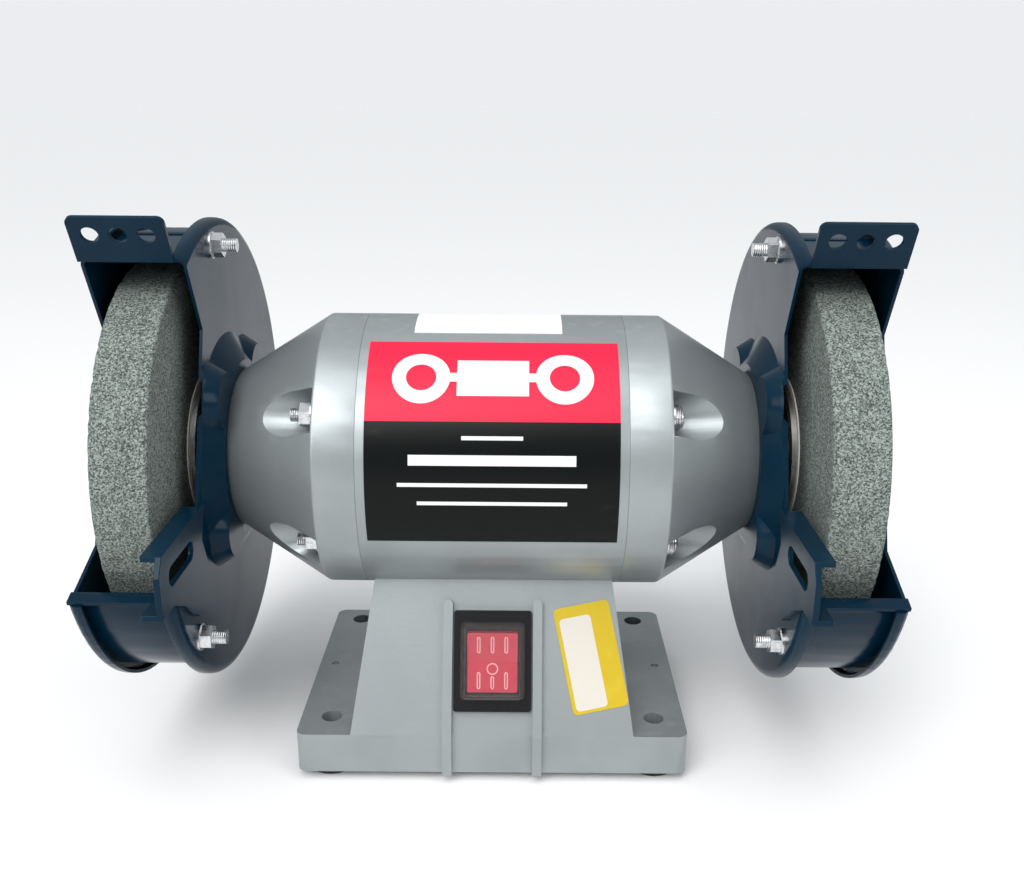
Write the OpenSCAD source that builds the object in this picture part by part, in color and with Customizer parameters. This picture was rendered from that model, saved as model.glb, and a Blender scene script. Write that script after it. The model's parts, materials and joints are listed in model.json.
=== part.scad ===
// Bench grinder: a twin-ended motor on a cast pedestal, with a guarded wheel at each end.
// The shaft runs along X. The front, where the work is held, is -Y. The bench is Z = 0.
// The origin is the centre of the four bench bolt holes, on the bench.
// Angles round the shaft start at the front and rise over the top: 90 is straight up.

/* [Motor housing] */
// Outside diameter of the motor housing
housing_d = 107.5; // [100:0.5:120]
// Length of the stator shell, seam to seam
shell_len = 98.6; // [90:0.2:125]
// Wall of the stator shell
shell_wall = 3.75; // [3:0.25:5]
// Straight length of an end bell before its cone
bell_straight = 15.2; // [13:0.2:20]
// Length of an end bell's cone
bell_cone = 35.8; // [32:0.2:44]
// Radius of an end bell's nose
nose_r = 31.2; // [29:0.2:34]
// Wall of the cast end bells
bell_wall = 3.5; // [3:0.25:4.5]
// How far the tie bolts stand in from the housing's bore
tie_inset = 4; // [3.5:0.1:5]
// Radius of the pocket round a tie bolt's end
pocket_r = 8.5; // [8:0.25:9]
// Height of the housing's underside above the bench
housing_up = 66.25; // [60:0.25:90]

/* [Base] */
// Width of the base along the shaft
base_w = 152; // [145:1:190]
// Depth of the base from front to back
base_d = 108; // [100:1:135]
// Height of the base flange
base_h = 16.3; // [14:0.1:20]
// Wall of the base and the pedestal
base_wall = 4; // [3:0.5:5]
// Distance between the bench bolt holes along X
hole_span_x = 128; // [120:1:132]
// Distance between the bench bolt holes along Y
hole_span_y = 85; // [78:1:88]
// Diameter of a bench bolt hole
hole_d = 8; // [6.5:0.5:9]
// How far the shaft stands in front of the middle of the bolt holes
shaft_lead = 2; // [0:0.5:4]
// Half width of the pedestal where it leaves the base
pedestal_foot = 54.8; // [50:0.2:58]
// Half width of the pedestal under the housing
pedestal_top = 46.5; // [44:0.5:49]
// How far in front of the shaft the pedestal meets the housing
pedestal_lead = 30; // [27:1:34]
// How far behind the shaft the pedestal's rear wall stands
pedestal_rear = 36; // [32:1:40]
// Height of a rubber foot
foot_h = 4; // [3:0.5:8]
// Radius of a rubber foot
foot_r = 10; // [8:0.5:11]

/* [Wheels and shaft] */
// Diameter of a grinding wheel
wheel_d = 150; // [140:1:180]
// Thickness of a grinding wheel
wheel_w = 20; // [16:1:25]
// Diameter of the shaft in the wheels
arbor_d = 12.7; // [12:0.1:13]
// Diameter of the shaft in the bearings
journal_d = 15; // [15:1:17]
// Radius of a wheel flange
flange_r = 29; // [25:0.5:32]
// Gap between a guard plate and its wheel
wheel_gap = 9.05; // [8.5:0.05:12]
// Thickness of the paper blotter between a wheel and a flange
blotter_t = 0.5; // [0.4:0.1:1]
// Across flats of a shaft nut
nut_flats = 19; // [18:1:22]

/* [Guards] */
// Radial gap between a wheel and the rim of its guard plate
guard_gap = 15.5; // [14:0.5:20]
// Width of a guard between its two faces
guard_w = 36.85; // [36.5:0.05:45]
// Sheet thickness of the guard plates and covers
sheet_t = 1.2; // [1:0.1:1.6]
// Sheet thickness of the guard band
band_t = 1.5; // [1.2:0.1:2]
// How far the band is set in from the rim
band_inset = 4; // [3:0.5:5]
// Depth of the rim round a guard plate and a cover
rim_depth = 5; // [4:0.5:7]
// How far the middle of a guard plate is pressed towards the motor
plate_dish = 6.35; // [5:0.05:8]
// Angle of the upper edge of a guard's opening
open_top = 63; // [55:1:70]
// Angle of the lower edge of a guard's opening
open_bottom = -20; // [-28:1:-12]
// Radius at which a guard's opening stops
open_r = 59.5; // [54:0.5:62]
// Height of the tongue that carries an eye shield
tongue_h = 21.5; // [18:0.5:24]
// Diameter of the tongue's three holes
tongue_hole_d = 6.2; // [5.2:0.2:6.6]
// Distance between the tongue's holes
tongue_pitch = 9.6; // [9:0.1:10.5]
// Height of the dome over the shaft nut
dome_h = 14.3; // [13:0.1:18]
// Radius of the dome where it leaves the cover
dome_r = 22; // [20:0.5:26]
// Height of the slot in a tool rest bracket
rest_slot_h = 7; // [6:0.5:8]
// Length of the slot in a tool rest bracket
rest_slot_len = 27; // [20:1:30]

/* [Switch] */
// Width of the switch's bezel
bezel_w = 30; // [28:0.5:33]
// Height of the switch's bezel
bezel_l = 38.6; // [36:0.2:41]
// Width of the rocker
rocker_w = 19.6; // [17:0.2:20.6]
// Length of the rocker
rocker_l = 23; // [21:0.5:24]
// Angle that the rocker leans from level when it is off
rocker_tilt = 8; // [6:1:10]

/* [Hidden] */

$fn = 96;
eps = 0.01;

// Stations along the shaft, for the right-hand side; the left is their mirror image.
shell_r = housing_d / 2;
shell_bore = shell_r - shell_wall;
shaft_h = housing_up + shell_r;
tie_r = shell_bore - tie_inset;
seam_x = shell_len / 2;
shoulder_x = seam_x + bell_straight;
nose_x = shoulder_x + bell_cone;
plate_x = nose_x + plate_dish;
wheel_x = plate_x + wheel_gap;
wheel_end_x = wheel_x + wheel_w;
cover_x = plate_x + guard_w;
cover_in_x = cover_x - sheet_t;

// Heights above the bench.
base_top = foot_h + base_h;
pedestal_z = shaft_h - sqrt(pow(shell_r, 2) - pow(pedestal_lead, 2));
rear_z = shaft_h - sqrt(pow(shell_r, 2) - pow(pedestal_rear, 2));

// Shaft, bearings and the fits between them.
arbor_r = arbor_d / 2;
journal_r = journal_d / 2;
core_seat_r = journal_r + 2.5;
shaft_shoulder_r = journal_r + 1.5;
fit_gap = 0.05;
bearing_r = 17.5;
bearing_w = 11;
bearing_floor = 3.3;
wave_t = 1;
bearing_pitch_r = (bearing_r + journal_r) / 2;
ball_r = 2.9;
groove_r = 3.05;
hub_r = bearing_r + 4;
hub_len = 2;
ball_count = 8;
bearing_end_x = nose_x - bearing_floor - wave_t;
bearing_x = bearing_end_x - bearing_w;
flange_shoulder_x = wheel_x - 6.2;
flange_t = 3;
shaft_nut_t = 8;
shaft_tail = 4;
nut_x = wheel_end_x + blotter_t + flange_t;
shaft_end_x = nut_x + shaft_nut_t + shaft_tail;

// Stator and rotor.
core_half = 22.5;
rotor_r = 24;
air_gap = 0.5;
slot_count = 24;
slot_r0 = rotor_r + 2.5;
slot_r1 = 37;
slot_w = 3.2;
slot_mouth = 1.5;
winding_gap = 0.2;
winding_end = 15;
rotor_bar_count = 20;
rotor_bar_r = 1.8;
rotor_bar_ring = 20.5;
cage_ring_w = 6;

// Tie bolts, in metric M5 sizes.
tie_angles = [32, 148, 212, 328];
m5_r = 2.5;
m5_clear = 2.9;
m5_flats_r = 8 / sqrt(3);
m5_nut_t = 4;
m5_head_r = 4.75;
m5_head_t = 3.6;
m5_washer_r = 5;
m5_washer_t = 1;
shoulder_bend = 2;
pocket_floor_x = shoulder_x + 0.5;
pocket_tilt = 10;
boss_end_x = pocket_floor_x + 20;
boss_wall = 2;
boss_start = 5;
spigot_len = 4;
spigot_gap = 0.1;
spigot_wall = 3;

// Guards.
wheel_r = wheel_d / 2;
guard_r = wheel_r + guard_gap;
band_r = guard_r - band_inset;
band_in_r = band_r - band_t;
rim_bend = 3;
cover_bolt_r = band_in_r - 3;
cover_bolt_angles = [84, 201, 319];
cover_bolt_tail = 5;
plate_bolt_r = 26;
plate_bolt_angles = [45, 135, 225, 315];
plate_hole_r = 10;
dish_r = 35;
dish_slope = 11;
lobe_r = 11;
lobe_ring = 36;
lobe_slope = 4;
tongue_step = 3.5;
tongue_corner = 2.5;
tongue_hole_in = 7;
lip_r = guard_r - 1;
fold_depth = 0.3;
flare_in = rim_depth + 0.3;
flare_turn = 20;
flare_lap = 6;
lip_angle = asin(band_t / 2 / band_r);
dome_ball_r = (pow(dome_r, 2) + pow(dome_h, 2)) / (2 * dome_h);

// Tool rest brackets, measured from the shaft.
rest_t = 2;
rest_top_z = -6;
rest_bottom_z = -27;
rest_reach = guard_r + 12.5;
rest_flange = 5;
rest_slot_z = -16.5;
rest_slot_y = -(guard_r - 10.5);

// Pedestal front, and the switch on it.
front_y = -base_d / 2;
slope_run = -pedestal_lead - front_y;
slope_rise = pedestal_z - base_top;
slope_lean = atan2(slope_run, slope_rise);
switch_z = base_top + 26.4;
bezel_t = 3;
bezel_corner = 1;
switch_body_w = 25.6;
switch_body_l = 34;
switch_depth = 20;
panel_gap = 0.3;
rocker_window_w = rocker_w + 1.2;
rocker_window_l = rocker_l + 2.4;
rocker_rise = 4.5;
rocker_dip = 2.7;
rocker_drop = 5;
pivot_r = 1.5;
boot_wall = 0.8;
boot_h = 4.4;
rib_x = 17.4;
rib_w = 3.6;
rib_proud = 2.5;
rib_top_z = base_top + 48;
base_corner = 4;
roof_t = 4.5;
foot_boss_r = foot_r + 0.5;
pip_r = 1.6;
pip_depth = 0.8;
pip_x = base_w / 2 - 6.5;

// Inside the base.
plate_t = 1.2;
plate_z = foot_h + 0.8;
post_x = pedestal_foot + 5;
post_y = 15;
post_r = 4;
m4_r = 2;
m4_head_r = 3.8;
m4_head_t = 1.6;
m6_r = 3;
m6_head_r = 5.5;
m6_head_t = 4;
pedestal_screw_x = 36;
lead_hole_r = 6;
lead_x = -32;
lead_y = 16;
cap_r = 15;
cap_len = 46;
cap_y = pedestal_rear - cap_r - base_wall - 4;
cap_z = plate_z + plate_t + cap_r + 3;
clip_t = 1.2;
clip_w = 10;
block_w = 28;
block_d = 14;
block_h = 12;
block_y = -12;
gland_r = 8;
gland_bore = 3.6;
gland_flange_r = 10.5;
gland_flange_t = 2.5;
gland_len = 16;
gland_z = base_top + 18;
gland_x = 24;

// Label, price tag and sticker.
label_t = 0.3;
label_half = shell_len / 2 - 3.5;
label_low = -22;
label_high = 64;
tag_low = 70.5;
tag_high = 112;
tag_left = -30;
tag_right = 25.5;
sticker_t = 0.25;
sticker_w = 22;
sticker_l = 41.5;
sticker_x = 38.2;
sticker_up = 27.8;
sticker_turn = 11.6;
sticker_corner = 2;

// Radius of the outside of an end bell's cone at station x.
function cone_r(x) = shell_r + (nose_r - shell_r) * (x - shoulder_x) / bell_cone;

// Wall of the cone measured square to the shaft.
cone_wall = bell_wall * sqrt(1 + pow((shell_r - nose_r) / bell_cone, 2));

// Point on the circle of radius r at angle a, as [y, z] from the shaft.
function ring_point(r, a) = [-r * cos(a), r * sin(a)];

// Y of the pedestal's sloping front at height z, from the shaft.
function slope_y(z) = front_y + (z - base_top) * slope_run / slope_rise;

module at_shaft() {
  translate([0, -shaft_lead, shaft_h]) children();
}

module in_line_with_shaft() {
  translate([0, -shaft_lead, 0]) children();
}

// Draws the right-hand shape, mirrored for the left.
module on_side(side) {
  at_shaft() mirror([side < 0 ? 1 : 0, 0, 0]) children();
}

// Points of a rounded corner of radius r at b, between a and c, in n steps.
function rounded(a, b, c, r, n = 8) =
  let(
    u = (a - b) / norm(a - b),
    v = (c - b) / norm(c - b),
    half = acos(u * v) / 2,
    mid = b + (u + v) / norm(u + v) * r / sin(half),
    from = b + u * r / tan(half) - mid,
    turn = 180 - 2 * half,
    way = sign(u[0] * v[1] - u[1] * v[0])
  )
  [for (i = [0 : n]) let(t = -way * turn * i / n)
    mid + [from[0] * cos(t) - from[1] * sin(t), from[0] * sin(t) + from[1] * cos(t)]];

// Profile of a pressed disc with its face at x and its rim turned towards way.
function pressed_disc(x, way) =
  let(
    in_x = x + way * sheet_t,
    rim_x = x + way * rim_depth,
    in_r = guard_r - sheet_t
  )
  concat(
    [[x, 0]],
    rounded([x, 0], [x, guard_r], [rim_x, guard_r], rim_bend, 4),
    [[rim_x, guard_r], [rim_x, in_r]],
    rounded([rim_x, in_r], [in_x, in_r], [in_x, 0], rim_bend - sheet_t, 4),
    [[in_x, 0]]
  );

// Solid of revolution about the shaft from a list of [x, radius].
module turned(profile) {
  rotate([0, 90, 0]) rotate_extrude() polygon([for (p = profile) [p[1], p[0]]]);
}

module x_cyl(r, x0, x1) {
  translate([x0, 0, 0]) rotate([0, 90, 0]) cylinder(r = r, h = x1 - x0);
}

module hex_cyl(r, x0, x1) {
  translate([x0, 0, 0]) rotate([0, 90, 0]) cylinder(r = r, h = x1 - x0, $fn = 6);
}

module x_tube(r0, r1, x0, x1) {
  turned([[x0, r0], [x1, r0], [x1, r1], [x0, r1]]);
}

// Places a child at radius r and angle a round the shaft.
module at_ring(r, a) {
  translate([0, -r * cos(a), r * sin(a)]) children();
}

// Turns a child so that its -Y points outwards at angle a.
module facing(a) {
  rotate([-a, 0, 0]) children();
}

// Curved strip round the shaft between two radii, two stations and two angles.
module arc_strip(r0, r1, x0, x1, a0, a1) {
  rotate([0, 90, 0]) rotate([0, 0, -90 - a1])
    rotate_extrude(angle = a1 - a0) translate([r0, x0]) square([r1 - r0, x1 - x0]);
}

// Flat sheet square to the shaft from an outline of [y, z].
module x_sheet(x0, t, outline) {
  translate([x0, 0, 0]) rotate([90, 0, 90]) linear_extrude(t) polygon(outline);
}

module rounded_box(w, l, h, r) {
  linear_extrude(h) {
    square([w - 2 * r, l], center = true);
    square([w, l - 2 * r], center = true);
    for (sx = [-1, 1]) for (sy = [-1, 1])
      translate([sx * (w / 2 - r), sy * (l / 2 - r)]) circle(r = r, $fn = 32);
  }
}

// Local frame on the pedestal's sloping front: +Z outwards, +Y up the slope.
module on_slope(z) {
  translate([0, slope_y(z) - shaft_lead, z]) rotate([90 - slope_lean, 0, 0]) children();
}

module box_between(a, b) {
  translate(a) cube([b[0] - a[0], b[1] - a[1], b[2] - a[2]]);
}

// ---- Base ----

// The pedestal's outer block, or its cavity when inset is the wall.
module pedestal_block(inset, z0) {
  lean = inset / cos(slope_lean);
  foot_x = pedestal_foot - inset;
  top_x = pedestal_top - inset;
  intersection() {
    translate([-base_w / 2, 0, 0]) rotate([90, 0, 90]) linear_extrude(base_w)
      polygon([
        [front_y + lean, z0],
        [front_y + lean, base_top],
        [-pedestal_lead + lean, pedestal_z],
        [0, rear_z],
        [pedestal_rear - inset, rear_z],
        [pedestal_rear - inset, z0]
      ]);
    translate([0, base_d, 0]) rotate([90, 0, 0]) linear_extrude(2 * base_d)
      polygon([
        [-foot_x, z0],
        [-foot_x, base_top],
        [-top_x, pedestal_z],
        [-top_x, rear_z],
        [top_x, rear_z],
        [top_x, pedestal_z],
        [foot_x, base_top],
        [foot_x, z0]
      ]);
  }
}

// Rib down the front, with a round top; measured from the shaft's line.
module rib(x) {
  rib_len = (rib_top_z - base_top) / cos(slope_lean);
  translate([x - rib_w / 2, 0, 0]) rotate([90, 0, 90]) linear_extrude(rib_w)
    polygon([
      [front_y - rib_proud, foot_h],
      [front_y - rib_proud, base_top + rib_proud * tan(slope_lean / 2)],
      [front_y + base_wall / 2, base_top],
      [front_y + base_wall / 2, foot_h]
    ]);
  translate([x, shaft_lead, 0]) on_slope(base_top) translate([0, 0, -base_wall / 2])
    linear_extrude(base_wall / 2 + rib_proud) {
      translate([-rib_w / 2, -rib_proud * tan(slope_lean / 2)])
        square([rib_w, rib_len - rib_w / 2 + rib_proud * tan(slope_lean / 2)]);
      translate([0, rib_len - rib_w / 2]) circle(r = rib_w / 2);
    }
}

module bench_holes(r, z0, z1) {
  for (sx = [-1, 1]) for (sy = [-1, 1])
    translate([sx * hole_span_x / 2, sy * hole_span_y / 2, z0]) cylinder(r = r, h = z1 - z0);
}

module posts(r, z0, z1) {
  for (sx = [-1, 1]) for (sy = [-1, 1])
    translate([sx * post_x, sy * post_y, z0]) cylinder(r = r, h = z1 - z0);
}

module base_casting() {
  cavity_w = base_w - 2 * base_wall;
  cavity_d = base_d - 2 * base_wall;
  color([0.68, 0.7, 0.7]) difference() {
    union() {
      in_line_with_shaft() difference() {
        union() {
          translate([0, 0, foot_h]) rounded_box(base_w, base_d, base_h, base_corner);
          pedestal_block(0, base_top - 1);
          for (sx = [-1, 1]) rib(sx * rib_x);
        }
        translate([0, 0, foot_h - 1]) rounded_box(cavity_w, cavity_d, base_h - roof_t + 1, 1);
        difference() {
          pedestal_block(base_wall, foot_h + 1);
          translate([0, 0, shaft_h]) x_cyl(shell_r + base_wall, -base_w, base_w);
        }
        translate([0, 0, shaft_h]) x_cyl(shell_r, -base_w, base_w);
        for (sx = [-1, 1]) translate([sx * pip_x, shaft_lead, base_top - pip_depth])
          cylinder(r = pip_r, h = base_h, $fn = 32);
      }
      intersection() {
        union() {
          bench_holes(foot_boss_r, foot_h, base_top - 1);
          in_line_with_shaft() posts(post_r, plate_z + plate_t, base_top - 1);
        }
        in_line_with_shaft() translate([0, 0, foot_h]) rounded_box(base_w, base_d, base_h, base_corner);
      }
    }
    bench_holes(hole_d / 2, 0, base_top + 1);
    in_line_with_shaft() posts(m4_r - 0.2, plate_z, base_top - roof_t);
    in_line_with_shaft() for (sx = [-1, 1]) translate([sx * pedestal_screw_x, 0, base_top])
      cylinder(r = m6_r + 0.2, h = shaft_h - base_top);
    in_line_with_shaft() translate([lead_x, lead_y, base_top])
      cylinder(r = lead_hole_r, h = shaft_h - base_top);
    on_slope(switch_z) translate([0, 0, -switch_depth / 2])
      cube([switch_body_w + 2 * panel_gap, switch_body_l + 2 * panel_gap, switch_depth + 5], center = true);
    translate([gland_x, 0, gland_z]) rotate([-90, 0, 0]) cylinder(r = gland_r, h = base_d);
  }
}

module base_plate() {
  color([0.5, 0.52, 0.54]) in_line_with_shaft() difference() {
    translate([0, 0, plate_z]) linear_extrude(plate_t) {
      square([2 * (hole_span_x / 2 - foot_boss_r - 1), base_d - 2 * base_wall - 1], center = true);
      square([2 * (post_x + post_r + 1), 2 * (post_y + post_r + 1)], center = true);
    }
    posts(m4_r + 0.25, 0, base_top);
  }
}

module base_plate_screws() {
  color([0.8, 0.8, 0.82]) in_line_with_shaft() for (sx = [-1, 1]) for (sy = [-1, 1])
    translate([sx * post_x, sy * post_y, 0]) {
      translate([0, 0, plate_z]) cylinder(r = m4_r - 0.2, h = base_h - roof_t - 2);
      translate([0, 0, plate_z - m4_head_t]) difference() {
        cylinder(r = m4_head_r, h = m4_head_t);
        translate([0, 0, -1]) for (a = [0, 90]) rotate([0, 0, a])
          cube([4, 0.9, 4.2 - m4_head_t], center = true);
      }
    }
}

module rubber_feet() {
  color([0.12, 0.12, 0.12]) difference() {
    bench_holes(foot_r, 0, foot_h);
    bench_holes(hole_d / 2, -1, foot_h + 1);
  }
}

module pedestal_screws() {
  head_z = shaft_h - shell_r - base_wall - m6_head_t;
  color([0.75, 0.75, 0.77]) in_line_with_shaft() for (sx = [-1, 1])
    translate([sx * pedestal_screw_x, 0, head_z]) difference() {
      union() {
        cylinder(r = m6_head_r, h = m6_head_t, $fn = 48);
        cylinder(r = m6_r, h = m6_head_t + base_wall + shell_wall - 0.3, $fn = 48);
      }
      translate([0, 0, -1]) cylinder(r = 2.9, h = 3.4, $fn = 6);
    }
}

module cable_gland() {
  y0 = pedestal_rear - shaft_lead;
  color([0.13, 0.13, 0.14]) translate([gland_x, y0, gland_z]) rotate([-90, 0, 0]) difference() {
    union() {
      cylinder(r = gland_flange_r, h = gland_flange_t);
      translate([0, 0, gland_flange_t])
        cylinder(r1 = gland_r, r2 = gland_r - 2.5, h = gland_len - gland_flange_t);
      translate([0, 0, -base_wall - 3]) cylinder(r = gland_r - fit_gap, h = base_wall + 3);
      translate([0, 0, -base_wall - 3]) cylinder(r = gland_r + 1, h = 2.8);
    }
    translate([0, 0, -base_wall - 4]) cylinder(r = gland_bore, h = base_wall + gland_len + 5);
  }
}

// ---- Motor housing ----

module stator_shell() {
  color([0.7, 0.72, 0.72]) at_shaft() difference() {
    x_tube(shell_bore, shell_r, -seam_x, seam_x);
    translate([lead_x, lead_y, -shell_r]) cylinder(r = lead_hole_r, h = shell_r);
    for (sx = [-1, 1]) translate([sx * pedestal_screw_x, 0, -shell_r - 1])
      cylinder(r = m6_r, h = shell_wall + 4);
  }
}

// Open trough round a tie bolt's end, its floor rising to the cone.
module bolt_pocket() {
  intersection() {
    translate([pocket_floor_x, -tie_r, 0]) rotate([0, 0, -pocket_tilt]) rotate([90, 0, 90])
      translate([0, 0, -pocket_r]) linear_extrude(bell_cone + pocket_r) {
        circle(r = pocket_r);
        translate([-shell_r, -pocket_r]) square([shell_r, 2 * pocket_r]);
      }
    box_between([pocket_floor_x, -2 * shell_r, -shell_r], [nose_x + bell_cone, 0, shell_r]);
  }
}

// The bearing sits on the pocket's floor on the right; the left floor leaves room for the wave washer.
module end_bell(side) {
  floor_x = bearing_end_x + (side < 0 ? wave_t : 0);
  hub_x = bearing_x - hub_len;
  web_x = nose_x - 7;
  spigot_r = shell_bore - spigot_gap;
  inner_x = shoulder_x + (shell_r - cone_wall - shell_bore) * bell_cone / (shell_r - nose_r);
  on_side(side) difference() {
    union() {
      turned(concat(
        [[seam_x, shell_r]],
        rounded([seam_x, shell_r], [shoulder_x, shell_r], [nose_x, nose_r], shoulder_bend, 5),
        [
          [nose_x, nose_r],
          [nose_x, shaft_shoulder_r],
          [floor_x, shaft_shoulder_r],
          [floor_x, bearing_r],
          [hub_x, bearing_r],
          [hub_x, hub_r],
          [web_x, hub_r],
          [web_x, cone_r(web_x) - cone_wall],
          [inner_x, shell_bore],
          [seam_x + boss_start, shell_bore],
          [seam_x + 1, spigot_r - spigot_wall],
          [seam_x - spigot_len, spigot_r - spigot_wall],
          [seam_x - spigot_len, spigot_r],
          [seam_x, spigot_r]
        ]
      ));
      intersection() {
        turned([
          [seam_x, 0],
          [seam_x, shell_r - 1],
          [shoulder_x, shell_r - 1],
          [nose_x, nose_r - 1],
          [nose_x, 0]
        ]);
        for (a = tie_angles) at_ring(tie_r, a)
          x_cyl(pocket_r + boss_wall, seam_x + boss_start, boss_end_x);
      }
    }
    for (a = tie_angles) {
      at_ring(tie_r, a) x_cyl(m5_clear, 0, pocket_floor_x + 1);
      facing(a) bolt_pocket();
    }
    for (a = plate_bolt_angles) at_ring(plate_bolt_r, a) x_cyl(m5_r, nose_x - 6, nose_x + 1);
  }
}

module end_bell_left() {
  color([0.68, 0.7, 0.7]) end_bell(-1);
}

module end_bell_right() {
  color([0.68, 0.7, 0.7]) end_bell(1);
}

// Cross-slotted pan head, its seat at x = 0 and its shank towards -X.
module pan_head(r, t) {
  difference() {
    turned([[0, 0], [0, r], [t * 0.45, r], [t * 0.8, r * 0.8], [t, r * 0.45], [t, 0]]);
    for (a = [0, 90]) rotate([a, 0, 0]) translate([t * 0.5, -r * 0.5, -0.45]) cube([t, r, 0.9]);
  }
}

module tie_bolts() {
  seat = pocket_floor_x + m5_washer_t;
  tail = -seat - m5_nut_t - 3.5;
  color([0.82, 0.82, 0.84]) at_shaft() for (a = tie_angles) at_ring(tie_r, a) {
    x_cyl(m5_r, tail, seat + eps);
    translate([seat, 0, 0]) pan_head(m5_head_r, m5_head_t);
  }
}

module tie_bolt_nuts() {
  seat = -pocket_floor_x - m5_washer_t;
  color([0.8, 0.8, 0.82]) at_shaft() for (a = tie_angles) at_ring(tie_r, a) difference() {
    hex_cyl(m5_flats_r, seat - m5_nut_t, seat);
    x_cyl(m5_r, seat - m5_nut_t - 1, seat + 1);
  }
}

module m5_washer(x) {
  x_tube(m5_r + 0.15, m5_washer_r, x, x + m5_washer_t);
}

module tie_bolt_washers() {
  color([0.84, 0.84, 0.86]) at_shaft() for (a = tie_angles) at_ring(tie_r, a) {
    m5_washer(pocket_floor_x);
    m5_washer(-pocket_floor_x - m5_washer_t);
  }
}

module stator_core() {
  color([0.36, 0.37, 0.39]) at_shaft() difference() {
    x_tube(rotor_r + air_gap, shell_bore, -core_half, core_half);
    for (a = tie_angles) at_ring(tie_r, a) x_cyl(m5_clear, -core_half - 1, core_half + 1);
    for (i = [0 : slot_count - 1]) facing(i * 360 / slot_count) {
      translate([-core_half - 1, -slot_r1, -slot_w / 2])
        cube([2 * core_half + 2, slot_r1 - slot_r0, slot_w]);
      translate([-core_half - 1, -slot_r0 - 1, -slot_mouth / 2])
        cube([2 * core_half + 2, slot_r0 + 1 - rotor_r, slot_mouth]);
    }
  }
}

module stator_winding() {
  end_x = core_half + winding_end;
  color([0.72, 0.4, 0.2]) at_shaft() {
    for (sx = [-1, 1]) mirror([sx < 0 ? 1 : 0, 0, 0])
      turned([
        [core_half + 0.5, slot_r0 + 0.6],
        [core_half + 0.5, slot_r1 - 0.3],
        [end_x - 4, slot_r1 + 0.6],
        [end_x, slot_r1 - 2],
        [end_x, slot_r0 + 4],
        [end_x - 4, slot_r0 + 1.4]
      ]);
    for (i = [0 : slot_count - 1]) facing(i * 360 / slot_count)
      translate([-core_half - 1, -slot_r1 + winding_gap, -slot_w / 2 + winding_gap])
        cube([2 * core_half + 2, slot_r1 - slot_r0 - 2 * winding_gap, slot_w - 2 * winding_gap]);
  }
}

// ---- Bearings ----

module bearing_ring(side, r0, r1) {
  mid = bearing_x + bearing_w / 2;
  color([0.75, 0.76, 0.78]) on_side(side) difference() {
    x_tube(r0, r1, bearing_x, bearing_end_x);
    translate([mid, 0, 0]) rotate([0, 90, 0]) rotate_extrude()
      translate([bearing_pitch_r, 0]) circle(r = groove_r, $fn = 48);
  }
}

module bearing_outer_left() {
  bearing_ring(-1, bearing_pitch_r + 2, bearing_r);
}

module bearing_outer_right() {
  bearing_ring(1, bearing_pitch_r + 2, bearing_r);
}

module bearing_inner_left() {
  bearing_ring(-1, journal_r, bearing_pitch_r - 2);
}

module bearing_inner_right() {
  bearing_ring(1, journal_r, bearing_pitch_r - 2);
}

// Eight balls in a stamped cage.
module bearing_balls(side) {
  mid = bearing_x + bearing_w / 2;
  color([0.85, 0.85, 0.87]) on_side(side) {
    for (i = [0 : ball_count - 1]) at_ring(bearing_pitch_r, i * 360 / ball_count)
      translate([mid, 0, 0]) sphere(r = ball_r, $fn = 48);
    x_tube(bearing_pitch_r - 1.2, bearing_pitch_r + 1.2, mid - 0.6, mid + 0.6);
  }
}

module bearing_balls_left() {
  bearing_balls(-1);
}

module bearing_balls_right() {
  bearing_balls(1);
}

module wave_washer() {
  color([0.6, 0.6, 0.62]) on_side(-1)
    x_tube(bearing_r - 3.5, bearing_r - 0.3, bearing_end_x, bearing_end_x + wave_t);
}

// ---- Inside the base ----

module capacitor() {
  color([0.86, 0.86, 0.82]) translate([0, cap_y - shaft_lead, cap_z]) {
    x_cyl(cap_r, -cap_len / 2, cap_len / 2);
    for (y = [-4, 4]) translate([cap_len / 2 - 1, y - 0.4, -3]) cube([9, 0.8, 6]);
  }
}

module capacitor_clip() {
  floor_z = plate_z + plate_t - cap_z;
  color([0.6, 0.62, 0.63]) translate([0, cap_y - shaft_lead, cap_z]) difference() {
    union() {
      x_cyl(cap_r + clip_t, -clip_w / 2, clip_w / 2);
      box_between([-clip_w / 2, -8, floor_z], [clip_w / 2, 8, -cap_r]);
    }
    x_cyl(cap_r, -clip_w, clip_w);
  }
}

module terminal_block() {
  z0 = plate_z + plate_t;
  color([0.85, 0.85, 0.8]) in_line_with_shaft() difference() {
    box_between([-block_w / 2, block_y - block_d / 2, z0], [block_w / 2, block_y + block_d / 2, z0 + block_h]);
    for (i = [-1, 0, 1]) translate([i * 9, block_y, z0]) {
      translate([0, 0, 6]) cylinder(r = 2.6, h = block_h, $fn = 32);
      translate([0, block_d, 4]) rotate([90, 0, 0]) cylinder(r = 1.8, h = 2 * block_d, $fn = 32);
    }
  }
}

module terminal_screws() {
  color([0.8, 0.66, 0.35]) in_line_with_shaft() for (i = [-1, 0, 1])
    translate([i * 9, block_y, plate_z + plate_t + 6]) difference() {
      cylinder(r = 2.3, h = 4, $fn = 32);
      translate([-3, -0.4, 3]) cube([6, 0.8, 2]);
    }
}

// ---- Switch ----

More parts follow.
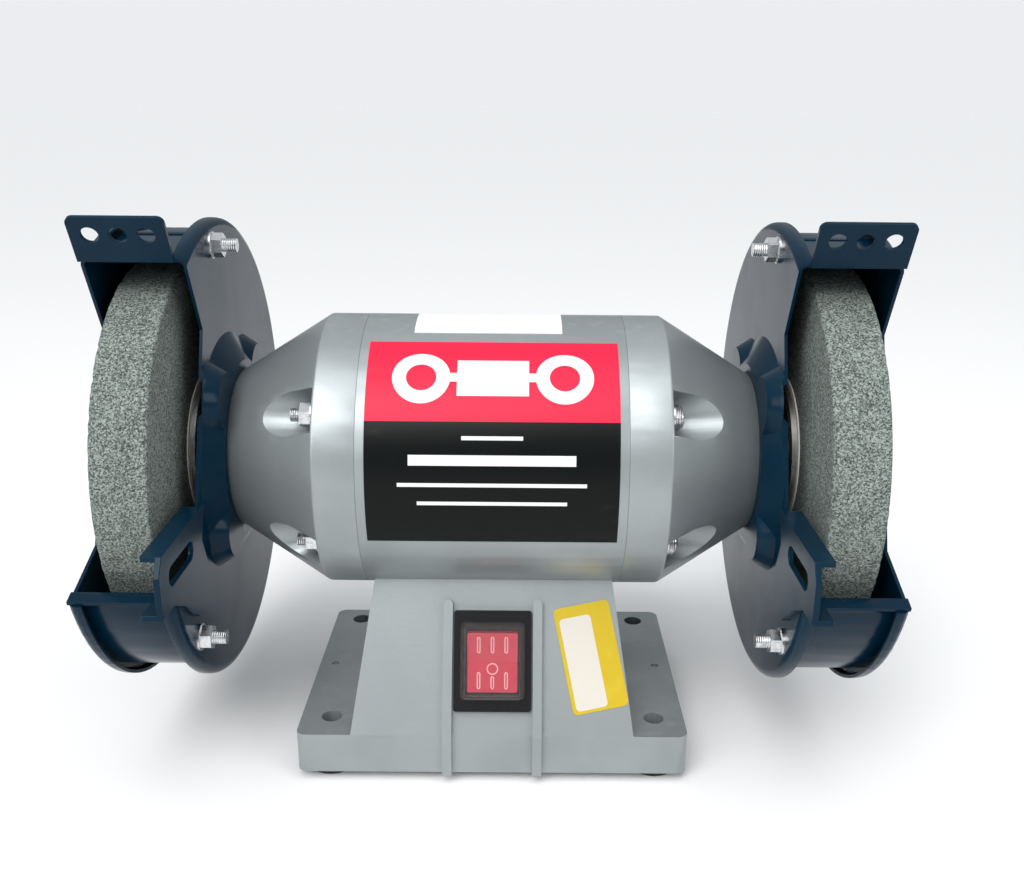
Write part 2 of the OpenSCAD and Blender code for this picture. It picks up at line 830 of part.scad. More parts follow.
module switch_body() {
  color([0.08, 0.08, 0.09]) on_slope(switch_z) difference() {
    union() {
      rounded_box(bezel_w, bezel_l, bezel_t, bezel_corner);
      translate([0, 0, -switch_depth]) rounded_box(switch_body_w, switch_body_l, switch_depth + 1, 1);
      for (i = [-1, 0, 1]) for (y = [-8, 8])
        translate([i * 7 - 2.4, y - 0.4, -switch_depth - 6]) cube([4.8, 0.8, 7]);
    }
    difference() {
      translate([-rocker_window_w / 2, -rocker_window_l / 2, -8])
        cube([rocker_window_w, rocker_window_l, 20]);
      rotate([0, 90, 0]) cylinder(r = pivot_r, h = bezel_w, center = true, $fn = 32);
    }
  }
}

// Clear soft boot, standing off the rocker so that it rocks freely underneath.
module switch_boot() {
  outer_w = rocker_window_w + 2.6;
  outer_l = rocker_window_l + 2.6;
  color([0.9, 0.85, 0.85, 0.4]) on_slope(switch_z) translate([0, 0, bezel_t]) difference() {
    union() {
      rounded_box(outer_w + 1.6, outer_l + 1.6, 0.8, 2);
      rounded_box(outer_w, outer_l, boot_h, 2);
    }
    translate([0, 0, -1])
      rounded_box(outer_w - 2 * boot_wall, outer_l - 2 * boot_wall, boot_h + 1 - boot_wall, 1.2);
  }
}

module switch_rocker() {
  color([0.8, 0.12, 0.2]) on_slope(switch_z) rotate([rocker_tilt, 0, 0])
    difference() {
      translate([-rocker_w / 2, 0, 0]) rotate([90, 0, 90]) linear_extrude(rocker_w)
        polygon([
          [-rocker_l / 2, rocker_rise],
          [-rocker_l / 2, 0],
          [-rocker_l / 4, -rocker_drop],
          [rocker_l / 4, -rocker_drop],
          [rocker_l / 2, 0],
          [rocker_l / 2, rocker_rise],
          [0, rocker_dip]
        ]);
      rotate([0, 90, 0]) cylinder(r = pivot_r + fit_gap, h = 2 * rocker_w, center = true, $fn = 32);
    }
}

// ---- Label, tag and sticker ----

module front_label() {
  color([0.85, 0.15, 0.22]) at_shaft()
    arc_strip(shell_r, shell_r + label_t, -label_half, label_half, label_low, label_high);
}

module price_tag() {
  color([0.95, 0.95, 0.94]) at_shaft()
    arc_strip(shell_r, shell_r + label_t, tag_left, tag_right, tag_low, tag_high);
}

module shop_sticker() {
  color([0.93, 0.8, 0.2]) on_slope(base_top + sticker_up) translate([sticker_x, 0, 0])
    rotate([0, 0, sticker_turn]) rounded_box(sticker_w, sticker_l, sticker_t, sticker_corner);
}

// ---- Guards ----

// The space cut from a guard where the work reaches the wheel.
module opening_cut(x0, x1) {
  far = 3 * guard_r;
  x_sheet(x0, x1 - x0, [
    ring_point(open_r, open_top),
    ring_point(far, open_top),
    ring_point(far * 1.5, (open_top + open_bottom) / 2),
    ring_point(far, open_bottom),
    ring_point(open_r, open_bottom)
  ]);
}

module pressed_middle(grow, x) {
  turned([
    [x, 0],
    [x, dish_r + grow],
    [x + plate_dish, dish_r + dish_slope + grow],
    [x + plate_dish + 1, dish_r + dish_slope + grow],
    [x + plate_dish + 1, 0]
  ]);
  for (a = plate_bolt_angles) at_ring(lobe_ring, a)
    turned([
      [x, 0],
      [x, lobe_r + grow],
      [x + plate_dish, lobe_r + lobe_slope + grow],
      [x + plate_dish + 1, lobe_r + lobe_slope + grow],
      [x + plate_dish + 1, 0]
    ]);
}

module guard_plate(side) {
  color([0.05, 0.13, 0.22]) on_side(side) difference() {
    union() {
      turned(pressed_disc(plate_x, 1));
      intersection() {
        pressed_middle(0, nose_x);
        x_cyl(guard_r, nose_x - 1, plate_x + sheet_t);
      }
    }
    pressed_middle(-sheet_t, nose_x + sheet_t);
    x_cyl(plate_hole_r, nose_x - 1, plate_x + 5);
    opening_cut(plate_x - 1, cover_x);
    for (a = plate_bolt_angles) at_ring(plate_bolt_r, a) x_cyl(m5_clear, nose_x - 1, plate_x);
    for (a = cover_bolt_angles) at_ring(cover_bolt_r, a) x_cyl(m5_clear, plate_x - 1, plate_x + 5);
  }
}

module guard_plate_left() {
  guard_plate(-1);
}

module guard_plate_right() {
  guard_plate(1);
}

// The curved band, with the eye shield tongue at its top end and a lip at its bottom end.
module guard_band(side) {
  x0 = plate_x + sheet_t;
  tongue_x = plate_x + tongue_step;
  tongue_w = cover_x - tongue_x;
  tongue_r = band_r + tongue_h;
  root_r = (band_in_r - fold_depth) / cos(flare_turn);
  color([0.03, 0.1, 0.18]) on_side(side) {
    arc_strip(band_in_r, band_r, x0, cover_in_x, open_top + flare_turn - 0.5, 360 + open_bottom + lip_angle);
    facing(open_top + flare_turn) x_sheet(plate_x + flare_in, guard_w - 2 * flare_in, [
      [-band_r + fold_depth, flare_lap],
      [-band_r + fold_depth, -(band_r - fold_depth) * tan(flare_turn)],
      [-band_in_r + fold_depth, -(band_in_r - fold_depth) * tan(flare_turn) - band_t / 2],
      [-band_in_r + fold_depth, flare_lap]
    ]);
    facing(open_top) translate([0, 0, -band_t]) difference() {
      union() {
        translate([tongue_x, -tongue_r + tongue_corner, 0])
          cube([tongue_w, tongue_r - tongue_corner - root_r, band_t]);
        translate([tongue_x + tongue_corner, -tongue_r, 0])
          cube([tongue_w - 2 * tongue_corner, tongue_r - root_r, band_t]);
        for (x = [tongue_x + tongue_corner, tongue_x + tongue_w - tongue_corner])
          translate([x, -tongue_r + tongue_corner, 0]) cylinder(r = tongue_corner, h = band_t);
      }
      for (i = [-1, 0, 1])
        translate([tongue_x + tongue_w / 2 + i * tongue_pitch, -tongue_r + tongue_hole_in, -1])
        cylinder(r = tongue_hole_d / 2, h = band_t + 2);
    }
    facing(open_bottom) translate([plate_x, -lip_r, 0]) cube([guard_w, lip_r - band_in_r + fold_depth, band_t]);
  }
}

module guard_band_left() {
  guard_band(-1);
}

module guard_band_right() {
  guard_band(1);
}

// Dished outer cover with a dome over the shaft nut.
module guard_cover(side) {
  ball_x = cover_x + dome_h - dome_ball_r;
  color([0.04, 0.12, 0.2]) on_side(side) difference() {
    union() {
      turned(pressed_disc(cover_x, -1));
      intersection() {
        translate([ball_x, 0, 0]) sphere(r = dome_ball_r);
        x_cyl(guard_r, cover_in_x, cover_x + 2 * dome_h);
      }
    }
    translate([ball_x, 0, 0]) sphere(r = dome_ball_r - sheet_t);
    opening_cut(plate_x, cover_x + 1);
    for (a = cover_bolt_angles) at_ring(cover_bolt_r, a) x_cyl(m5_clear, cover_in_x - 1, cover_x + 1);
  }
}

module guard_cover_left() {
  guard_cover(-1);
}

module guard_cover_right() {
  guard_cover(1);
}

// Arm welded to the motor side of the guard plate; the tool rest bolts through its slot.
module rest_bracket(side) {
  x0 = plate_x - rest_t;
  back = -(open_r - 10);
  slot_end = (rest_slot_len - rest_slot_h) / 2;
  color([0.06, 0.16, 0.26]) on_side(side) difference() {
    union() {
      x_sheet(x0, rest_t, [
        [back, rest_top_z],
        [4 - rest_reach, rest_top_z],
        [-rest_reach, rest_top_z - 6],
        [-rest_reach, rest_bottom_z],
        [12 - rest_reach, rest_bottom_z],
        ring_point(guard_r - rim_bend - 1, open_bottom - 2),
        ring_point(guard_r - 12, open_bottom - 14),
        [back + 5, -42],
        [back - 6, -18]
      ]);
      box_between([x0, 4 - rest_reach, rest_top_z - rest_t], [plate_x + rest_flange, back - 4, rest_top_z]);
      box_between(
        [x0, -rest_reach, rest_bottom_z],
        [plate_x + rest_flange, 10 - rest_reach, rest_bottom_z + rest_t]
      );
    }
    translate([x0 - 1, rest_slot_y, rest_slot_z]) rotate([90, 0, 90]) linear_extrude(rest_t + 2) {
      square([2 * slot_end, rest_slot_h], center = true);
      for (s = [-1, 1]) translate([s * slot_end, 0]) circle(r = rest_slot_h / 2, $fn = 48);
    }
  }
}

module rest_bracket_left() {
  rest_bracket(-1);
}

module rest_bracket_right() {
  rest_bracket(1);
}

// Four screws a side hold the guard plate to the end bell's nose.
module plate_screws() {
  seat = nose_x + sheet_t;
  color([0.75, 0.75, 0.77]) for (side = [-1, 1]) on_side(side)
    for (a = plate_bolt_angles) at_ring(plate_bolt_r, a) {
      x_cyl(m5_r, nose_x - 5.5, seat + eps);
      translate([seat, 0, 0]) pan_head(m5_head_r, m5_head_t);
    }
}

// Three long screws a side run from the cover through to nuts on the motor side of the plate.
module cover_screws() {
  color([0.84, 0.84, 0.86]) for (side = [-1, 1]) on_side(side)
    for (a = cover_bolt_angles) at_ring(cover_bolt_r, a) {
      x_cyl(m5_r, plate_x - m5_washer_t - m5_nut_t - cover_bolt_tail, cover_x + eps);
      translate([cover_x, 0, 0]) pan_head(m5_head_r, m5_head_t);
    }
}

module cover_nuts() {
  end = plate_x - m5_washer_t;
  color([0.8, 0.8, 0.82]) for (side = [-1, 1]) on_side(side)
    for (a = cover_bolt_angles) at_ring(cover_bolt_r, a) difference() {
      hex_cyl(m5_flats_r, end - m5_nut_t, end);
      x_cyl(m5_r, end - m5_nut_t - 1, end + 1);
    }
}

module cover_washers() {
  color([0.86, 0.86, 0.88]) for (side = [-1, 1]) on_side(side)
    for (a = cover_bolt_angles) at_ring(cover_bolt_r, a) m5_washer(plate_x - m5_washer_t);
}

// ---- Rotor ----

module shaft() {
  half = [
    [core_half + cage_ring_w + 4, core_seat_r],
    [core_half + cage_ring_w + 4, shaft_shoulder_r],
    [bearing_x, shaft_shoulder_r],
    [bearing_x, journal_r],
    [flange_shoulder_x, journal_r],
    [flange_shoulder_x, arbor_r],
    [shaft_end_x - 1.2, arbor_r],
    [shaft_end_x, arbor_r - 1.2],
    [shaft_end_x, 0]
  ];
  color([0.78, 0.78, 0.8]) at_shaft() for (sx = [-1, 1]) mirror([sx < 0 ? 1 : 0, 0, 0])
    turned(concat([[-eps, 0], [-eps, core_seat_r]], half));
}

module rotor_core() {
  color([0.42, 0.43, 0.45]) at_shaft() difference() {
    x_tube(core_seat_r, rotor_r, -core_half, core_half);
    for (i = [0 : rotor_bar_count - 1]) at_ring(rotor_bar_ring, i * 360 / rotor_bar_count)
      x_cyl(rotor_bar_r, -core_half - 1, core_half + 1, $fn = 32);
  }
}

// Cast cage: one bar through each hole of the core, joined by a ring at each end.
module rotor_cage() {
  color([0.8, 0.81, 0.82]) at_shaft() {
    for (i = [0 : rotor_bar_count - 1]) at_ring(rotor_bar_ring, i * 360 / rotor_bar_count)
      x_cyl(rotor_bar_r, -core_half - 1, core_half + 1, $fn = 32);
    for (sx = [-1, 1]) mirror([sx < 0 ? 1 : 0, 0, 0])
      x_tube(rotor_bar_ring - 4, rotor_r - 0.5, core_half, core_half + cage_ring_w);
  }
}

module inner_flange(side) {
  face = wheel_x - blotter_t;
  color([0.8, 0.81, 0.83]) on_side(side) turned([
    [flange_shoulder_x, arbor_r],
    [flange_shoulder_x, arbor_r + 5],
    [face - flange_t, arbor_r + 6],
    [face - flange_t, flange_r - 1],
    [face - flange_t + 1, flange_r],
    [face, flange_r],
    [face, flange_r - 8],
    [face - 1, flange_r - 9],
    [face - 1, arbor_r]
  ]);
}

module inner_flange_left() {
  inner_flange(-1);
}

module inner_flange_right() {
  inner_flange(1);
}

module outer_flange(side) {
  face = wheel_end_x + blotter_t;
  color([0.8, 0.81, 0.83]) on_side(side) turned([
    [face, flange_r],
    [face + flange_t - 1, flange_r],
    [face + flange_t, flange_r - 1],
    [face + flange_t, arbor_r],
    [face + 1, arbor_r],
    [face + 1, flange_r - 9],
    [face, flange_r - 8]
  ]);
}

module outer_flange_left() {
  outer_flange(-1);
}

module outer_flange_right() {
  outer_flange(1);
}

module wheel_blotters() {
  color([0.9, 0.88, 0.82]) for (side = [-1, 1]) on_side(side) {
    x_tube(arbor_r + 1, flange_r + 1.5, wheel_x - blotter_t, wheel_x);
    x_tube(arbor_r + 1, flange_r + 1.5, wheel_end_x, wheel_end_x + blotter_t);
  }
}

module grinding_wheel(side) {
  edge = 0.8;
  color([0.55, 0.58, 0.56]) on_side(side) turned([
    [wheel_x, arbor_r],
    [wheel_x, wheel_r - edge],
    [wheel_x + edge, wheel_r],
    [wheel_end_x - edge, wheel_r],
    [wheel_end_x, wheel_r - edge],
    [wheel_end_x, arbor_r]
  ]);
}

module grinding_wheel_left() {
  grinding_wheel(-1);
}

module grinding_wheel_right() {
  grinding_wheel(1);
}

module shaft_nut(side) {
  color([0.78, 0.78, 0.8]) on_side(side) difference() {
    intersection() {
      hex_cyl(nut_flats / sqrt(3), nut_x, nut_x + shaft_nut_t);
      turned([
        [nut_x, 0],
        [nut_x, nut_flats / sqrt(3)],
        [nut_x + shaft_nut_t - 1.2, nut_flats / sqrt(3)],
        [nut_x + shaft_nut_t, nut_flats / 2],
        [nut_x + shaft_nut_t, 0]
      ]);
    }
    x_cyl(arbor_r, nut_x - 1, nut_x + shaft_nut_t + 1);
  }
}

module shaft_nut_left() {
  shaft_nut(-1);
}

module shaft_nut_right() {
  shaft_nut(1);
}

base_casting();
base_plate();
base_plate_screws();
rubber_feet();
pedestal_screws();
cable_gland();
stator_shell();
end_bell_left();
end_bell_right();
tie_bolts();
tie_bolt_nuts();
tie_bolt_washers();
stator_core();
stator_winding();
bearing_outer_left();
bearing_outer_right();
wave_washer();
capacitor();
capacitor_clip();
terminal_block();
terminal_screws();
switch_body();
switch_boot();
switch_rocker();
front_label();
price_tag();
shop_sticker();
guard_plate_left();
guard_plate_right();
guard_band_left();
guard_band_right();
guard_cover_left();
guard_cover_right();
rest_bracket_left();
rest_bracket_right();
plate_screws();
cover_screws();
cover_nuts();
cover_washers();
shaft();
rotor_core();
rotor_cage();
bearing_inner_left();
bearing_inner_right();
bearing_balls_left();
bearing_balls_right();
inner_flange_left();
inner_flange_right();
outer_flange_left();
outer_flange_right();
wheel_blotters();
grinding_wheel_left();
grinding_wheel_right();
shaft_nut_left();
shaft_nut_right();
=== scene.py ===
import json
import math

import bmesh
import bpy
from mathutils import Matrix, Vector, noise


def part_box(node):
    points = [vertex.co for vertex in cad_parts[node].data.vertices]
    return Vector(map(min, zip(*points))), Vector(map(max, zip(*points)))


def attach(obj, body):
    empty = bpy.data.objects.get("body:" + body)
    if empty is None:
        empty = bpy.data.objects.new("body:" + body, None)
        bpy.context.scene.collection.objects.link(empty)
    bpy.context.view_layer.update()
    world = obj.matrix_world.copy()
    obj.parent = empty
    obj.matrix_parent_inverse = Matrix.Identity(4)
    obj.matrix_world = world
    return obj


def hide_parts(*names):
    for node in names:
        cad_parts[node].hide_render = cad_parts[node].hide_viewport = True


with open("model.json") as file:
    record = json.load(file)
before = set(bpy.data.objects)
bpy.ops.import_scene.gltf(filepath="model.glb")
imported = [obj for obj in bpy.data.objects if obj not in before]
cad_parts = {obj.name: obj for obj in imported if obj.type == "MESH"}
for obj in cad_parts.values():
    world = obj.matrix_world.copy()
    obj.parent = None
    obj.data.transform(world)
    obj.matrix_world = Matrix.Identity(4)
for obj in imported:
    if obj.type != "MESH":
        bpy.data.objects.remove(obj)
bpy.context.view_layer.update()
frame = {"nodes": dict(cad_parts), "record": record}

# Camera: a close view from in front of the switch and a little above the
# motor, looking down at the machine on its bench.
camera = bpy.data.objects.new("camera", bpy.data.cameras.new("camera"))
bpy.context.collection.objects.link(camera)
bpy.context.scene.camera = camera
camera.data.sensor_width = 36.0
camera.data.lens = 37.93
camera.data.shift_x = -0.0106
camera.data.shift_y = 0.0056
camera_yaw = math.radians(0.22)
camera_pitch = math.radians(17.8)
camera_roll = math.radians(0.53)
look = Vector((
    math.sin(camera_yaw) * math.cos(camera_pitch),
    math.cos(camera_yaw) * math.cos(camera_pitch),
    -math.sin(camera_pitch),
))
camera.location = (0.00954, -0.4190, 0.2533)
camera.rotation_mode = "QUATERNION"
camera_turn = look.to_track_quat("-Z", "Y")
camera.rotation_quaternion = camera_turn @ Matrix.Rotation(camera_roll, 3, "Z").to_quaternion()


# Base casting: flange, pedestal and ribs in one aluminium casting, sprayed
# with satin silver paint. The skin keeps some of the sand's roughness.
mm = 0.001
silver = (0.325, 0.355, 0.36, 1)
silver_dark = (0.27, 0.297, 0.302, 1)
dust = (0.55, 0.56, 0.55, 1)
base_round = 0.7 * mm
bell_round = 0.5 * mm


class Value:
    """A node's output. An expression on values adds its Math nodes."""

    def __init__(self, finish, socket):
        self.finish = finish
        self.socket = socket

    def math(self, operation, *values):
        return self.finish.node("ShaderNodeMath", {"operation": operation}, dict(enumerate(values)))

    def __add__(self, other):
        return self.math("ADD", self, other)

    def __sub__(self, other):
        return self.math("SUBTRACT", self, other)

    def __rsub__(self, other):
        return self.math("SUBTRACT", other, self)

    def __mul__(self, other):
        return self.math("MULTIPLY", self, other)

    def __truediv__(self, other):
        return self.math("DIVIDE", self, other)

    def __pow__(self, other):
        return self.math("POWER", self, other)

    def __mod__(self, other):
        return self.math("FLOORED_MODULO", self, other)

    def __abs__(self):
        return self.math("ABSOLUTE", self)

    def __neg__(self):
        return self.math("MULTIPLY", self, -1.0)

    __radd__ = __add__
    __rmul__ = __mul__

    def larger(self, other):
        return self.math("MAXIMUM", self, other)

    def root(self):
        return self.math("SQRT", self)

    def over(self, low, high):
        """0 below low, 1 above high, and smooth in between."""
        sockets = {"Value": self, "From Min": low, "From Max": high}
        return self.finish.node("ShaderNodeMapRange", {"interpolation_type": "SMOOTHSTEP"}, sockets)


class Finish:
    """A finish in the making: its nodes and its shader."""

    def __init__(self, name, **constants):
        self.material = bpy.data.materials.new(name)
        self.material.use_nodes = True
        self.tree = self.material.node_tree
        self.shader = self.tree.nodes["Principled BSDF"]
        self.shade({key.replace("_", " "): value for key, value in constants.items()})

    def node(self, kind, settings=None, sockets=None, out=0):
        made = self.tree.nodes.new(kind)
        for key, value in (settings or {}).items():
            setattr(made, key, value)
        self.plug(made, sockets or {})
        return Value(self, made.outputs[out])

    def plug(self, made, sockets):
        for key, value in sockets.items():
            if isinstance(value, Value):
                self.tree.links.new(value.socket, made.inputs[key])
            else:
                made.inputs[key].default_value = value

    def shade(self, sockets):
        self.plug(self.shader, sockets)

    def place(self):
        """Place on the piece, in metres."""
        return self.node("ShaderNodeTexCoord", out="Object")

    def axes(self):
        """The three parts of the place, one value each."""
        split = self.node("ShaderNodeSeparateXYZ", sockets={"Vector": self.place()})
        return [Value(self, socket) for socket in split.socket.node.outputs]

    def grain(self, size, detail=2.0, stretch=(1, 1, 1)):
        """Noise from 0 to 1 with lumps of that size."""
        settings = {"operation": "MULTIPLY"}
        vector = self.node("ShaderNodeVectorMath", settings, {0: self.place(), 1: stretch})
        return self.node("ShaderNodeTexNoise", {}, {"Vector": vector, "Scale": 1 / size, "Detail": detail})

    def mix(self, amount, first, second):
        return self.node("ShaderNodeMix", {"data_type": "RGBA"}, {0: amount, 6: first, 7: second}, out=2)

    def emboss(self, height, depth):
        """Raises the surface by height, which runs from 0 to 1, times depth."""
        bump = self.node("ShaderNodeBump", {}, {"Height": height, "Distance": depth})
        self.shade({"Normal": bump})

    def coat(self, *names):
        """Puts the finish on these nodes of the frame."""
        for name in names:
            for slot in frame["nodes"][name].material_slots:
                slot.material = self.material


def round_edges(name, radius, angle=35):
    """Softens a node's sharp edges and keeps its faces flat."""
    piece = frame["nodes"][name]
    weld = piece.modifiers.new("weld", "WELD")
    weld.merge_threshold = 0.00001
    bevel = piece.modifiers.new("soft edges", "BEVEL")
    bevel.width = radius
    bevel.segments = 3
    bevel.limit_method = "ANGLE"
    bevel.angle_limit = math.radians(angle)
    bevel.harden_normals = True
    bevel.use_clamp_overlap = True


def silver_paint(name, skin, depth):
    """Satin silver paint over a surface whose lumps have the size of skin."""
    paint = Finish(name, Coat_Roughness=0.22, IOR=1.5)
    patches = paint.grain(30 * mm, 3.0).over(0.35, 0.7)
    flakes = paint.grain(0.35 * mm, 1.0)
    lumps = paint.grain(skin, 3.0)
    outward = paint.node("ShaderNodeNewGeometry", out="Normal")
    up = paint.node("ShaderNodeSeparateXYZ", sockets={"Vector": outward}, out=2)
    settled = up.over(0.85, 1.0) * paint.grain(4 * mm, 4.0).over(0.5, 0.75) * 0.4
    body = paint.mix(patches * 0.6 + flakes * 0.3, silver, silver_dark)
    paint.shade({
        "Base Color": paint.mix(settled * 0.25, body, dust),
        "Metallic": 0.62 - settled * 0.3,
        "Roughness": 0.36 + patches * 0.06 + flakes * 0.08 + settled * 0.15,
        "Coat Weight": 0.25 - settled * 0.15,
    })
    paint.emboss(lumps * 0.8 + flakes * 0.2, depth)
    return paint


cast_paint = silver_paint("cast_silver_paint", 1.6 * mm, 0.05 * mm)
cast_paint.coat("base_casting", "end_bell_left", "end_bell_right")
round_edges("base_casting", base_round)
for name in ("end_bell_left", "end_bell_right"):
    round_edges(name, bell_round)


# Feet and underside: four moulded rubber feet, a zinc-plated plate that
# closes the base, its four cross-head screws, and a nylon gland at the back.
rubber = Finish("black_rubber", Specular_IOR_Level=0.35)
rubber_bloom = rubber.grain(2.5 * mm, 5.0).over(0.45, 0.75)
rubber.shade({
    "Base Color": rubber.mix(rubber_bloom, (0.012, 0.012, 0.013, 1), (0.05, 0.05, 0.05, 1)),
    "Roughness": 0.55 + rubber_bloom * 0.25,
})
rubber.emboss(rubber.grain(0.4 * mm, 2.0), 0.04 * mm)
rubber.coat("rubber_feet", "cable_gland")
round_edges("rubber_feet", 0.8 * mm)


def plated(name, tint, roughness, pitch=0.0):
    """Bright zinc plating; pitch above 0 cuts fine threads along the shaft's way."""
    zinc = Finish(name, Metallic=1.0)
    stain = zinc.grain(1.8 * mm, 4.0).over(0.4, 0.75)
    brushed = zinc.grain(0.25 * mm, 2.0, (1, 0.15, 1))
    zinc.shade({
        "Base Color": zinc.mix(stain, tint, tuple(0.72 * part for part in tint[:3]) + (1,)),
        "Roughness": roughness + stain * 0.12 + brushed * 0.08,
    })
    height = brushed * 0.15
    if pitch:
        height = height + abs((zinc.axes()[0] % pitch) / pitch - 0.5) * 2.0
    zinc.emboss(height, 0.18 * mm if pitch else 0.02 * mm)
    return zinc


zinc = plated("bright_zinc", (0.66, 0.67, 0.68, 1), 0.2)
zinc.coat(
    "base_plate", "base_plate_screws", "pedestal_screws", "capacitor_clip",
    "tie_bolt_nuts", "tie_bolt_washers", "cover_nuts", "cover_washers", "plate_screws",
)


# Motor housing: a rolled steel shell between two cast bells, all in the same
# silver paint. Four long bolts with pan heads on the right and nuts on the
# left draw the bells together.
shell_paint = silver_paint("shell_silver_paint", 5 * mm, 0.025 * mm)
shell_paint.coat("stator_shell")
round_edges("stator_shell", 0.45 * mm)
threaded = plated("threaded_zinc", (0.68, 0.69, 0.70, 1), 0.22, 0.8 * mm)
threaded.coat("tie_bolts", "cover_screws")


# Front label: a printed film on the shell, red above and black below, with a
# plain drawing of two wheels on a shaft, and plain rules under it.
shaft_low, shaft_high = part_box("shaft")
shaft_y = (shaft_low.y + shaft_high.y) / 2
shaft_z = (shaft_low.z + shaft_high.z) / 2
label_radius = 54.05 * mm
label_split = math.radians(27.5) * label_radius
label_mark = math.radians(45.7) * label_radius
label_red = (0.74, 0.014, 0.050, 1)
label_black = (0.002, 0.003, 0.003, 1)
label_white = (0.74, 0.74, 0.73, 1)
block_half = (13 * mm, 7.5 * mm)
stub_half = (16 * mm, 1.8 * mm)
ring_place = 26 * mm
ring_outer = 10.5 * mm
ring_inner = 5.5 * mm
thin_rule = 0.7 * mm
thick_rule = 1.9 * mm
rules = (
    (20 * mm, 11 * mm, thin_rule),
    (12 * mm, 30 * mm, thick_rule),
    (3 * mm, 34 * mm, thin_rule),
    (-4 * mm, 27 * mm, thin_rule),
)
film = Finish("label_film", Specular_IOR_Level=0.15)
along, deep, high = film.axes()
up_round = (high - shaft_z).math("ARCTAN2", high - shaft_z, -(deep - shaft_y)) * label_radius


def within(distance, soft=0.12 * mm):
    """1 where distance is below 0, with a printed edge that wide."""
    return (-distance).over(-soft, soft)


def disc(x, z, radius):
    return ((along - x) ** 2.0 + (up_round - z) ** 2.0).root() - radius


def bar(x, z, half_x, half_z):
    return (abs(along - x) - half_x).larger(abs(up_round - z) - half_z)


drawing = within(bar(0, label_mark, *block_half))
drawing = drawing.larger(within(bar(0, label_mark, *stub_half)))
for x in (-ring_place, ring_place):
    ring = within(disc(x, label_mark, ring_outer)) - within(disc(x, label_mark, ring_inner))
    drawing = drawing.larger(ring)
for height, half_long, half_thick in rules:
    drawing = drawing.larger(within(bar(0, height, half_long, half_thick)))
upper = (up_round - label_split).over(-0.1 * mm, 0.1 * mm)
ground = film.mix(upper, label_black, label_red)
scuffs = film.grain(9 * mm, 6.0, (0.3, 1, 1)).over(0.64, 0.8)
printed = film.mix(drawing, ground, label_white)
film.shade({
    "Base Color": film.mix(scuffs * 0.015, printed, label_white),
    "Roughness": 0.30 + scuffs * 0.12 + film.grain(1.2 * mm) * 0.06,
})
film.emboss(film.grain(3 * mm, 2.0), 0.02 * mm)
film.coat("front_label")


# Price tag and shop sticker: two blank gummed papers, one over the housing
# and one across the pedestal. The sticker is yellow with a white panel.
tag_paper = Finish("tag_paper")
fibres = tag_paper.grain(0.8 * mm, 4.0)
tag_paper.shade({
    "Base Color": tag_paper.mix(fibres, (0.74, 0.74, 0.73, 1), (0.80, 0.80, 0.80, 1)),
    "Roughness": 0.42 + fibres * 0.15,
})
tag_paper.emboss(fibres, 0.01 * mm)
tag_paper.coat("price_tag")
sticker_low, sticker_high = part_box("shop_sticker")
sticker_middle = (sticker_low + sticker_high) / 2
sticker_turn = math.radians(11.6)
slope_lean = math.radians(23.54)
panel_place = (-3.3 * mm, -1.5 * mm)
panel_half = (4.6 * mm, 16.4 * mm)
panel_corner = 1.6 * mm
sticker_yellow = (0.54, 0.385, 0.006, 1)
sticker_faded = (0.62, 0.46, 0.03, 1)
sticker_white = (0.62, 0.58, 0.51, 1)
sticker = Finish("sticker_paper", Coat_Roughness=0.2)
along, deep, high = sticker.axes()
up_slope = (high - sticker_middle.z) / math.cos(slope_lean)
across = along - sticker_middle.x
sticker_x = across * math.cos(sticker_turn) + up_slope * math.sin(sticker_turn)
sticker_y = up_slope * math.cos(sticker_turn) - across * math.sin(sticker_turn)
panel_x = (abs(sticker_x - panel_place[0]) - panel_half[0]).larger(0.0)
panel_y = (abs(sticker_y - panel_place[1]) - panel_half[1]).larger(0.0)
panel = within((panel_x ** 2.0 + panel_y ** 2.0).root() - panel_corner, 0.1 * mm)
creases = sticker.grain(6 * mm, 5.0).over(0.55, 0.7)
yellow = sticker.mix(creases * 0.25, sticker_yellow, sticker_faded)
sticker.shade({
    "Base Color": sticker.mix(panel, yellow, sticker_white),
    "Roughness": 0.32 + creases * 0.1,
    "Coat Weight": 0.3 - creases * 0.1,
})
sticker.emboss(sticker.grain(7 * mm, 2.0), 0.05 * mm)
sticker.coat("shop_sticker")


# Switch: a black moulded bezel with a red rocker under a clear soft boot.
# The rocker carries moulded marks: bars at each end and a ring between. They are raised ribs, painted pale
# pink as highlight.
bezel = Finish("bezel_plastic", Specular_IOR_Level=0.15)
sparks = bezel.grain(0.3 * mm, 2.0)
bezel.shade({
    "Base Color": bezel.mix(sparks, (0.005, 0.005, 0.006, 1), (0.012, 0.012, 0.013, 1)),
    "Roughness": 0.34 + sparks * 0.2,
})
bezel.emboss(sparks, 0.02 * mm)
bezel.coat("switch_body")
round_edges("switch_body", 0.4 * mm)
rocker_red = Finish(
    "rocker_plastic", Coat_Weight=0.5, Coat_Roughness=0.12, Subsurface_Weight=0.1, Subsurface_Scale=0.001
)
swirl = rocker_red.grain(5 * mm, 3.0)
rocker_red.shade({
    "Base Color": rocker_red.mix(swirl, (0.46, 0.006, 0.030, 1), (0.58, 0.012, 0.045, 1)),
    "Roughness": 0.26 + swirl * 0.14,
})
rocker_red.emboss(swirl, 0.02 * mm)
rocker_red.coat("switch_rocker")
round_edges("switch_rocker", 0.6 * mm)
# The marks' pale pink is a painted highlight: it stands in for light catching the raised ribs' rounded
# backs.
mark_highlight = Finish("mark_painted_highlight", Coat_Weight=0.4, Coat_Roughness=0.15)
mark_highlight.shade({
    "Base Color": mark_highlight.mix(mark_highlight.grain(1 * mm), (0.80, 0.42, 0.42, 1), (0.88, 0.56, 0.55, 1)),
    "Roughness": 0.25 + mark_highlight.grain(0.5 * mm) * 0.15,
})
clear = Finish("clear_boot", Specular_IOR_Level=0.6, Roughness=0.12)
